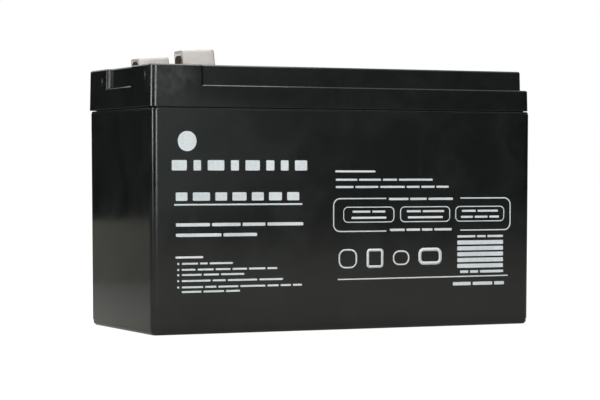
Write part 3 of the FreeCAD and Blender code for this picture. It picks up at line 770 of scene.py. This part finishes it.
def filled(tree, curve, thickness):
    """Flat solid inside a closed curve."""
    face = add(tree, "GeometryNodeFillCurve", {0: curve}, mode="NGONS").outputs[0]
    inputs = {"Mesh": face, "Offset Scale": thickness, "Individual": False}
    return add(tree, "GeometryNodeExtrudeMesh", inputs, mode="FACES").outputs[0]


def finish_tree(tree, given, end, geometry, lay):
    """Lay the print on the side, make its instances real and set its material."""
    laid = add(
        tree,
        "GeometryNodeGroup",
        {"Geometry": geometry, "Depth at Foot": given["Depth at Foot"], "Lean": given["Lean"]},
        node_tree=lay,
    )
    real = add(tree, "GeometryNodeRealizeInstances", {0: laid.outputs[0]})
    inputs = {"Geometry": real.outputs[0], "Material": given["Material"]}
    inked = add(tree, "GeometryNodeSetMaterial", inputs)
    tree.links.new(inked.outputs[0], end.inputs[0])


LAID_INPUTS = {"Thickness": 0.00004, "Depth at Foot": 0.0, "Lean": 0.0, "Material": MATERIAL}


def words_tree(lay):
    """Row of bars of uneven length that fills the space between two ends, as words fill a line."""
    inputs = {"Left": 0.0, "Right": 0.02, "Middle": 0.0, "Height": 0.001, "Gap": 0.0008, "Words": 3, "Seed": 0}
    tree, given, end = shape_group("Word Row", {**inputs, **LAID_INPUTS})
    points = add(tree, "GeometryNodePoints", {"Count": given["Words"]})
    number = tree.nodes.new("GeometryNodeInputIndex").outputs[0]
    inputs = {2: 0.5, 3: 1.6, "Seed": given["Seed"]}
    chance = add(tree, "FunctionNodeRandomValue", inputs, data_type="FLOAT")
    share = chance.outputs[1]
    run = add(tree, "GeometryNodeAccumulateField", {0: share}, data_type="FLOAT")
    gaps = maths(tree, "MULTIPLY", maths(tree, "SUBTRACT", given["Words"], 1.0), given["Gap"])
    room = maths(tree, "SUBTRACT", maths(tree, "SUBTRACT", given["Right"], given["Left"]), gaps)
    unit = maths(tree, "DIVIDE", room, run.outputs["Total"])
    length = maths(tree, "MULTIPLY", share, unit)
    begins = maths(tree, "MULTIPLY_ADD", run.outputs["Trailing"], unit, given["Left"])
    begins = maths(tree, "MULTIPLY_ADD", number, given["Gap"], begins)
    middle = maths(tree, "MULTIPLY_ADD", length, 0.5, begins)
    place = add(tree, "ShaderNodeCombineXYZ", {0: middle, 1: given["Middle"]})
    inputs = {"Geometry": points.outputs[0], "Position": place.outputs[0]}
    set_out = add(tree, "GeometryNodeSetPosition", inputs)
    quad = add(tree, "GeometryNodeCurvePrimitiveQuadrilateral", {0: 1.0, 1: 1.0})
    solid = filled(tree, filleted(tree, quad.outputs[0], 2, 0.08), 1.0)
    size = add(tree, "ShaderNodeCombineXYZ", {0: length, 1: given["Height"], 2: given["Thickness"]})
    inputs = {"Points": set_out.outputs[0], "Instance": solid, "Scale": size.outputs[0]}
    rows = add(tree, "GeometryNodeInstanceOnPoints", inputs)
    finish_tree(tree, given, end, rows.outputs[0], lay)
    return tree


def lines_tree(lay):
    """Flat line of even width along a path, with rounded corners."""
    tree, given, end = shape_group("Printed Line", {"Width": 0.0004, "Corner": 0.002, **LAID_INPUTS})
    path = add(tree, "GeometryNodeMeshToCurve", {0: given["Geometry"]})
    rounded = filleted(tree, path.outputs[0], 6, given["Corner"])
    upright = add(tree, "GeometryNodeSetCurveNormal", {0: rounded}, mode="Z_UP")
    quad = add(tree, "GeometryNodeCurvePrimitiveQuadrilateral", {0: given["Width"], 1: given["Thickness"]})
    inputs = {"Curve": upright.outputs[0], "Profile Curve": quad.outputs[0], "Fill Caps": True}
    swept = add(tree, "GeometryNodeCurveToMesh", inputs)
    finish_tree(tree, given, end, swept.outputs[0], lay)
    return tree


def fields_tree(lay):
    """Filled field with rounded corners inside an outline."""
    tree, given, end = shape_group("Printed Field", {"Corner": 0.0005, **LAID_INPUTS})
    path = add(tree, "GeometryNodeMeshToCurve", {0: given["Geometry"]})
    rounded = filleted(tree, path.outputs[0], 8, given["Corner"])
    finish_tree(tree, given, end, filled(tree, rounded, given["Thickness"]), lay)
    return tree


def path_mesh(name, points, closed):
    """Mesh of plain edges through flat points given in millimetres."""
    mesh = bpy.data.meshes.new(name)
    edges = [(index, index + 1) for index in range(len(points) - 1)]
    if closed:
        edges.append((len(points) - 1, 0))
    mesh.from_pydata([(x * MM, z * MM, 0.0) for x, z in points], edges, [])
    return mesh


def grown(name, mesh, tree, values):
    """Object whose mesh comes from a node tree, turned into a plain mesh."""
    made = link_object(name, mesh)
    modifier = made.modifiers.new("Shape", "NODES")
    modifier.node_group = tree
    for item in tree.interface.items_tree:
        if item.item_type == "SOCKET" and item.in_out == "INPUT" and item.name in values:
            modifier[item.identifier] = values[item.name]
    return plain(made)


def joined(name, parts):
    """One object from several plain ones."""
    shape = bmesh.new()
    for part in parts:
        shape.from_mesh(part.data)
    mesh = bpy.data.meshes.new(name)
    bmesh.ops.recalc_face_normals(shape, faces=shape.faces)
    shape.to_mesh(mesh)
    shape.free()
    for material in parts[0].data.materials:
        mesh.materials.append(material)
    for part in parts:
        bpy.data.objects.remove(part)
    return link_object(name, mesh)


def color_property(description, default):
    """Colour as a property."""
    return FloatVectorProperty(
        name="Colour", description=description, size=3, subtype="COLOR", default=default
    )


def length_property(name, description, default, least=0.0):
    """Length in metres as a property."""
    return FloatProperty(name=name, description=description, default=default, min=least, unit="LENGTH")


def power_property(name, description, default):
    """Power of a light as a property."""
    return FloatProperty(name=name, description=description, default=default, min=0.0, unit="POWER")


class PlasticSettings(bpy.types.PropertyGroup):
    """Black plastic of the case, lid and cover."""

    color: color_property("Base colour of the plastic", (0.0050, 0.0064, 0.0058))
    roughness: FloatProperty(name="Roughness", description="Least roughness", default=0.085, min=0.0, max=1.0)
    wave_size: length_property("Wave Size", "Length of the slow waves", 0.03, 0.001)
    grain_size: length_property("Grain Size", "Size of the fine grain", 0.0009, 0.0001)
    relief: length_property("Relief", "Height that the relief is scaled to", 0.00022)
    edge_radius: length_property("Edge Radius", "Softening of the edges", 0.0003)


class PrintSettings(bpy.types.PropertyGroup):
    """Pale print on the long side."""

    color: color_property("Colour of the ink", (0.78, 0.84, 0.86))
    thickness: length_property("Thickness", "Thickness of the ink", 0.00004, 0.00001)
    gap: length_property("Gap", "Space between words", 0.0008)
    seed: IntProperty(name="Seed", description="Changes the lengths of the words", default=4)


class CapSettings(bpy.types.PropertyGroup):
    """Translucent caps over the terminals."""

    color: color_property("Colour of the soft plastic", (0.93, 0.9, 0.875))
    wall: length_property("Wall", "Wall thickness", 0.0008, 0.0001)
    rim: length_property("Rim", "Rounding of the open edges", 0.00015)
    corner: length_property("Corner", "Radius of the upright corners", 0.0018)
    crown: length_property("Crown", "Radius round the top", 0.001)
    draw: length_property("Draw", "How far the walls lean in toward the top", 0.00025)


class StageSettings(bpy.types.PropertyGroup):
    """Light of the world and of the panels."""

    world: FloatProperty(name="World", description="Even light on the object", default=0.72, min=0.0)
    top_light: power_property("Top Light", "Overhead panel", 9.8)
    side_light: power_property("Side Light", "Narrow panel at the left", 3.4)
    front_light: power_property("Front Light", "Narrow panel in front", 3.2)
    notch_light: power_property("Notch Light", "Strip that the lid's notch shows", 0.6)


class BATTERY_OT_case(bpy.types.Operator):
    """Case, lid and valve cover in black moulded plastic"""

    bl_idname = "battery.case"
    bl_label = "Case and Lid"

    def execute(self, context):
        settings = context.scene.battery_plastic
        color = tuple(settings.color)
        low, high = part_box("lid")
        # Place and reach of the patch of painted sheen on the lid
        along, down, reach = SHEEN_PATCH_PLACE
        patch = (Vector((low.x + along, low.y, high.z - down)), reach)
        made = {}
        for name, node, piece, rougher, waves, marks in PLASTIC_PIECES:
            rough = settings.roughness + rougher
            sheen_place = patch if node == "lid" else None
            made[node] = black_plastic(name, color, rough, settings, waves, marks, sheen_place)
            welded_copy(piece, node, made[node])
        end = low.x + RIB_DEPTH
        places = [Vector((end, across * MM, height * MM)) for across, height in RIBS]
        rib_piece("end_ribs", places, RIB_SIZE, made["lid"])
        return {"FINISHED"}


class BATTERY_OT_inside(bpy.types.Operator):
    """Glue, valve caps, plates, mats and lead inside the block"""

    bl_idname = "battery.inside"
    bl_label = "Inner Parts"

    def execute(self, context):
        solder = rough_material("Solder")
        lead = rough_material("Cast Lead")
        positive = plate_material("Positive Paste")
        negative = plate_material("Negative Paste")
        felt = mat_material()
        glue = rough_material("Joint Glue")
        give("joint_glue", glue)
        bead_piece("joint_bead", "case", glue)
        give("valve_caps", rough_material("Valve Rubber"))
        for number in CELLS:
            give("cell_%d_mats" % number, felt)
            give("cell_%d_positive_plates" % number, positive)
            give("cell_%d_negative_plates" % number, negative)
        for number in list(CELLS)[:-1]:
            give("link_%d_%d" % (number, number + 1), lead)
        for pole in POLES:
            node = pole + "_pole"
            give(node, lead)
            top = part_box(node)[1].z
            ends = [vertex.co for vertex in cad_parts[node].data.vertices if vertex.co.z > top - TINY]
            centre = sum(ends, Vector()) / len(ends)
            radius = max((end - centre).length for end in ends)
            profile = [(radius * across, up * MM) for across, up in SOLDER_PROFILE]
            turned(pole + "_solder", centre, profile, solder)
        return {"FINISHED"}


class BATTERY_OT_terminals(bpy.types.Operator):
    """Blade terminals and the resin round their feet"""

    bl_idname = "battery.terminals"
    bl_label = "Terminals"

    def execute(self, context):
        brass = terminal_material()
        resins = {pole: rough_material(RESINS[pole]) for pole in POLES}
        for pole in POLES:
            give(pole + "_terminal", brass)
            give(pole + "_resin", resins[pole])
        return {"FINISHED"}


class BATTERY_OT_caps(bpy.types.Operator):
    """Translucent caps pushed over the blades"""

    bl_idname = "battery.caps"
    bl_label = "Terminal Caps"

    def execute(self, context):
        settings = context.scene.battery_cap
        material = cap_material(tuple(settings.color))
        for pole in POLES:
            cap_piece(pole + "_cap", pole + "_terminal_cap", material, settings)
        return {"FINISHED"}


class BATTERY_OT_print(bpy.types.Operator):
    """Plain printed bars, fields and lines on the long side"""

    bl_idname = "battery.print"
    bl_label = "Print"

    def execute(self, context):
        settings = context.scene.battery_print
        depth, lean = front_plane()
        ink = print_material(tuple(settings.color))
        lay = lay_group()
        trees = {"words": words_tree(lay), "lines": lines_tree(lay), "fields": fields_tree(lay)}
        shared = {"Thickness": settings.thickness, "Depth at Foot": depth, "Lean": lean, "Material": ink}
        parts = {kind: [] for kind in trees}

        def put(kind, mesh, values):
            name = "%s_%d" % (kind, len(parts[kind]))
            parts[kind].append(grown(name, mesh, trees[kind], {**values, **shared}))

        for index, (left, right, middle, height, words) in enumerate(WORD_ROWS):
            values = {
                "Left": left * MM,
                "Right": right * MM,
                "Middle": middle * MM,
                "Height": height * MM,
                "Gap": max(settings.gap, height * MM * GAP_SHARE),
                "Words": words,
                "Seed": settings.seed + index,
            }
            put("words", bpy.data.meshes.new("Words"), values)
        for width, corner, closed, points in LINES:
            values = {"Width": width * MM, "Corner": corner * MM}
            put("lines", path_mesh("Line", points, closed), values)
        for *box, corner in FIELDS:
            put("fields", path_mesh("Field", outline(*box), True), {"Corner": corner * MM})
        for kind, found in parts.items():
            piece = joined("print_" + kind, found)
            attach(piece, "root")
        return {"FINISHED"}


class BATTERY_OT_stage(bpy.types.Operator):
    """Floor, world, soft lights, cards and camera"""

    bl_idname = "battery.stage"
    bl_label = "Stage"

    def execute(self, context):
        settings = context.scene.battery_stage
        make_floor()
        make_world(settings.world)
        for name, place, target, size, power in PANELS:
            panel_light(name, place, target, size, getattr(settings, power))
        for card in CARDS:
            reflected_card(*card)
        make_camera()
        return {"FINISHED"}


def make_floor():
    """Pale floor that shows white to the camera and keeps the block's shadow."""
    mesh = bpy.data.meshes.new("floor")
    corners = [(x * FLOOR_REACH, y * FLOOR_REACH, 0) for x, y in ((-1, -1), (1, -1), (1, 1), (-1, 1))]
    mesh.from_pydata(corners, [], [(0, 1, 2, 3)])
    floor = link_object("floor", mesh)
    floor.location.z = -FLOOR_DROP
    material, tree, shader, place = start_material("Floor")
    path = tree.nodes.new("ShaderNodeLightPath")
    lit = spread(tree, measure(tree, "DISTANCE", place, GLOW_CENTRE), *GLOW_FADE)
    other = maths(tree, "MAXIMUM", path.outputs["Is Glossy Ray"], path.outputs["Is Transmission Ray"])
    seen = path.outputs["Is Camera Ray"]
    glow = maths(tree, "MULTIPLY_ADD", seen, FLOOR_WHITE, maths(tree, "MULTIPLY", other, lit))
    fill(tree, shader, {"Base Color": FLOOR_TONE, "Roughness": 0.9, "Specular IOR Level": 0.0})
    fill(tree, shader, {"Emission Color": mixed(tree, seen, GLOW_TINT, WHITE), "Emission Strength": glow})
    mesh.materials.append(material)


def make_world(level):
    """White backdrop to the camera, to gloss and through glass; even plain light to the rest."""
    world = bpy.data.worlds.new("Studio")
    bpy.context.scene.world = world
    tree = cleared(world)
    path = tree.nodes.new("ShaderNodeLightPath")
    seen = maths(tree, "MAXIMUM", path.outputs["Is Camera Ray"], path.outputs["Is Glossy Ray"])
    seen = maths(tree, "MAXIMUM", seen, path.outputs["Is Transmission Ray"])
    strength = spread(tree, seen, 0.0, 1.0, level, 1.0)
    backdrop = add(tree, "ShaderNodeBackground", {"Color": WHITE, "Strength": strength})
    add(tree, "ShaderNodeOutputWorld", {0: backdrop.outputs[0]})


def panel_light(name, place, target, size, power):
    """Soft rectangular light that faces a point."""
    data = bpy.data.lights.new(name, "AREA")
    data.shape = "RECTANGLE"
    data.size, data.size_y = size
    data.energy = power
    light = bpy.data.objects.new(name, data)
    light.location = place
    light.rotation_euler = (Vector(target) - Vector(place)).to_track_quat("-Z", "Y").to_euler()
    light.visible_camera = False
    bpy.context.scene.collection.objects.link(light)


def reflected_card(name, ends, tall, fades, tint):
    """Upright card between two plan points that only reflections see, with a glow that fades along X."""
    mesh = bpy.data.meshes.new(name)
    left, right = ends
    corners = [(*left, 0.0), (*right, 0.0), (*right, tall), (*left, tall)]
    mesh.from_pydata(corners, [], [(0, 1, 2, 3)])
    card = link_object(name, mesh)
    material = bpy.data.materials.new(name)
    tree = cleared(material)
    place = tree.nodes.new("ShaderNodeTexCoord").outputs["Object"]
    parts = add(tree, "ShaderNodeSeparateXYZ", {0: place})
    strength = 0.0
    for fade in fades:
        strength = maths(tree, "ADD", spread(tree, parts.outputs[0], *fade), strength)
    glow = add(tree, "ShaderNodeEmission", {"Color": tint, "Strength": strength})
    add(tree, "ShaderNodeOutputMaterial", {0: glow.outputs[0]})
    mesh.materials.append(material)
    card.visible_camera = False
    card.visible_diffuse = False
    card.visible_transmission = False
    card.visible_shadow = False


def make_camera():
    """Camera at the photograph's place."""
    data = bpy.data.cameras.new("Camera")
    data.sensor_width = CAMERA_SENSOR
    data.lens = CAMERA_LENS
    data.clip_start, data.clip_end = CAMERA_VIEW
    camera = bpy.data.objects.new("Camera", data)
    camera.location = CAMERA_PLACE
    camera.rotation_euler = [math.radians(turn) for turn in CAMERA_TURN]
    bpy.context.scene.collection.objects.link(camera)
    bpy.context.scene.camera = camera


class BATTERY_PT_panel(bpy.types.Panel):
    """Lists the block's pieces and their values"""

    bl_idname = "BATTERY_PT_panel"
    bl_label = "Battery Block"
    bl_space_type = "VIEW_3D"
    bl_region_type = "UI"
    bl_category = "Battery"

    def draw(self, context):
        for owner in SETTINGS:
            settings = getattr(context.scene, owner)
            box = self.layout.box()
            box.label(text=owner.split("_")[1].title())
            for name in settings.__annotations__:
                box.prop(settings, name)
        for operator in OPERATORS:
            self.layout.operator(operator.bl_idname)


OPERATORS = (
    BATTERY_OT_case,
    BATTERY_OT_inside,
    BATTERY_OT_terminals,
    BATTERY_OT_caps,
    BATTERY_OT_print,
    BATTERY_OT_stage,
)
SETTINGS = {
    "battery_plastic": PlasticSettings,
    "battery_print": PrintSettings,
    "battery_cap": CapSettings,
    "battery_stage": StageSettings,
}


def register():
    for group in SETTINGS.values():
        bpy.utils.register_class(group)
    for name, group in SETTINGS.items():
        setattr(bpy.types.Scene, name, PointerProperty(type=group))
    for listed in (*OPERATORS, BATTERY_PT_panel):
        bpy.utils.register_class(listed)


def unregister():
    for listed in (BATTERY_PT_panel, *OPERATORS):
        bpy.utils.unregister_class(listed)
    for name, group in SETTINGS.items():
        delattr(bpy.types.Scene, name)
        bpy.utils.unregister_class(group)


def main():
    register()
    bpy.context.scene.view_settings.view_transform = "Standard"
    GROUPS.update(moulding=moulding_group(), marks=marks_group(), edge=edge_group(), smudge=smudge_group())
    bpy.ops.battery.case()
    bpy.ops.battery.inside()
    bpy.ops.battery.terminals()
    bpy.ops.battery.caps()
    bpy.ops.battery.print()
    bpy.ops.battery.stage()


if __name__ == "__main__":
    main()
